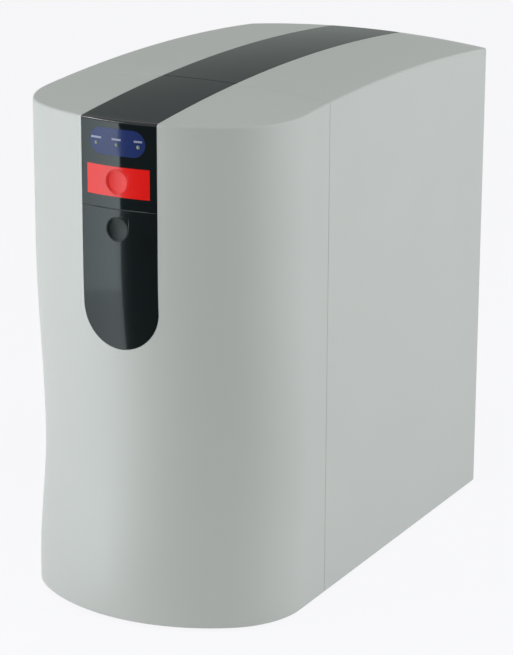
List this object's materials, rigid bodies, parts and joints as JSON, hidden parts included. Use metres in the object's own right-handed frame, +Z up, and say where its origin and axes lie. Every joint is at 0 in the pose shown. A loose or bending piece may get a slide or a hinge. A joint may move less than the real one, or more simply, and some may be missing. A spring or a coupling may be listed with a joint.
{
  "type": "compact reverse osmosis system",
  "caption": "Upright household reverse osmosis water purifier with a waisted round front, a domed top, a black control strip and filters, pump and tank inside.",
  "frame": {"origin": "on the floor, under the middle of the body", "axes": "+Z up, -Y out of the front, +X to the right of someone facing the front"},
  "size_m": [0.228, 0.42, 0.41],
  "materials": {
    "shell_grey": "satin, fine spark texture",
    "panel_grey": "satin",
    "tray_dark": "matt",
    "foot_rubber": "matt",
    "screw_steel": "plain",
    "strip_black": "high gloss",
    "lamp_blue": "satin gloss",
    "lamp_green": "frosted",
    "insert_red": "satin gloss",
    "board_green": "lacquered",
    "plate_zinc": "zinc plated",
    "filter_white": "satin gloss",
    "membrane_blue": "taped roll",
    "motor_steel": "plated",
    "rotor_iron": "wound",
    "black_plastic": "satin",
    "tank_paint": "gloss paint",
    "collet_blue": "satin gloss",
    "collet_grey": "satin gloss",
    "tube_white": "smooth"
  },
  "bodies": {
    "chassis": {"rear_cover": "shell_grey", "back_panel": "panel_grey", "base_tray": "tray_dark", "rubber_feet": "foot_rubber", "panel_screws": "screw_steel", "rear_top_strip": "strip_black", "bulkhead": "plate_zinc", "filter_manifold": "filter_white", "neck_seals": "foot_rubber", "membrane_vessel": "filter_white", "membrane_cap": "panel_grey", "membrane_roll": "membrane_blue", "membrane_seal": "foot_rubber", "post_filter": "filter_white", "vessel_clips": "tray_dark", "pump_bracket": "plate_zinc", "pump_bushes": "foot_rubber", "pump_motor": "motor_steel", "pump_bearings": "screw_steel", "pump_head": "black_plastic", "solenoid_valve": "filter_white", "solenoid_coil": "black_plastic", "pressure_switches": "black_plastic", "control_box": "tray_dark", "control_lid": "black_plastic", "control_board": "board_green", "leak_sensor": "filter_white", "tank_upper_shell": "tank_paint", "tank_lower_shell": "tank_paint", "tank_band": "screw_steel", "tank_bladder": "foot_rubber", "tank_stand": "tray_dark", "tank_tap": "panel_grey", "feed_port": "filter_white", "drain_port": "filter_white", "product_port": "filter_white", "port_nuts": "filter_white", "power_inlet": "black_plastic", "feed_tubing": "tube_white", "permeate_tubing": "tube_white", "drain_tubing": "tube_white", "flow_restrictor": "collet_blue"},
    "cover": {"front_cover": "shell_grey", "upper_fascia": "strip_black", "lower_fascia": "strip_black", "lamp_window": "lamp_blue", "lamp_lenses": "lamp_green", "red_insert": "insert_red", "display_board": "board_green"},
    "red_button": {"red_button": "insert_red"},
    "reset_button": {"reset_button": "strip_black"},
    "sediment_cartridge": {"sediment_cartridge": "filter_white"},
    "carbon_cartridge": {"carbon_cartridge": "filter_white"},
    "carbon_block_cartridge": {"carbon_block_cartridge": "filter_white"},
    "pump_rotor": {"pump_rotor": "rotor_iron"},
    "solenoid_plunger": {"solenoid_plunger": "screw_steel"},
    "tank_tap_lever": {"tank_tap_lever": "collet_blue"},
    "feed_collet": {"feed_collet": "collet_blue"},
    "drain_collet": {"drain_collet": "collet_grey"},
    "product_collet": {"product_collet": "collet_grey"}
  },
  "joints": [
    {"name": "cover_pull", "type": "slide", "parent": "chassis", "child": "cover", "axis": [0, -1, 0], "range_m": [0, 0.16]},
    {"name": "red_button_press", "type": "slide", "parent": "cover", "child": "red_button", "axis": [0, 1, 0], "range_m": [0, 0.002], "stiffness_N_per_m": 500},
    {"name": "reset_button_press", "type": "slide", "parent": "cover", "child": "reset_button", "axis": [0, 1, 0], "range_m": [0, 0.002], "stiffness_N_per_m": 500},
    {"name": "sediment_twist", "type": "hinge", "parent": "chassis", "child": "sediment_cartridge", "pos_m": [-0.06, -0.112, 0.2], "axis": [0, 0, 1], "range_deg": [0, 90]},
    {"name": "carbon_twist", "type": "hinge", "parent": "chassis", "child": "carbon_cartridge", "pos_m": [0, -0.15, 0.2], "axis": [0, 0, 1], "range_deg": [0, 90]},
    {"name": "carbon_block_twist", "type": "hinge", "parent": "chassis", "child": "carbon_block_cartridge", "pos_m": [0.06, -0.112, 0.2], "axis": [0, 0, 1], "range_deg": [0, 90]},
    {"name": "pump_spin", "type": "hinge", "parent": "chassis", "child": "pump_rotor", "pos_m": [0, -0.058, 0.14], "axis": [0, 0, 1], "continuous": true},
    {"name": "plunger_lift", "type": "slide", "parent": "chassis", "child": "solenoid_plunger", "axis": [0, 0, 1], "range_m": [0, 0.0025], "stiffness_N_per_m": 300},
    {"name": "tap_turn", "type": "hinge", "parent": "chassis", "child": "tank_tap_lever", "pos_m": [0, 0.0975, 0.34], "axis": [0, 0, 1], "range_deg": [0, 90]},
    {"name": "feed_release", "type": "slide", "parent": "chassis", "child": "feed_collet", "axis": [0, -1, 0], "range_m": [0, 0.0013], "stiffness_N_per_m": 800},
    {"name": "drain_release", "type": "slide", "parent": "chassis", "child": "drain_collet", "axis": [0, -1, 0], "range_m": [0, 0.0013], "stiffness_N_per_m": 800},
    {"name": "product_release", "type": "slide", "parent": "chassis", "child": "product_collet", "axis": [0, -1, 0], "range_m": [0, 0.0013], "stiffness_N_per_m": 800}
  ]
}
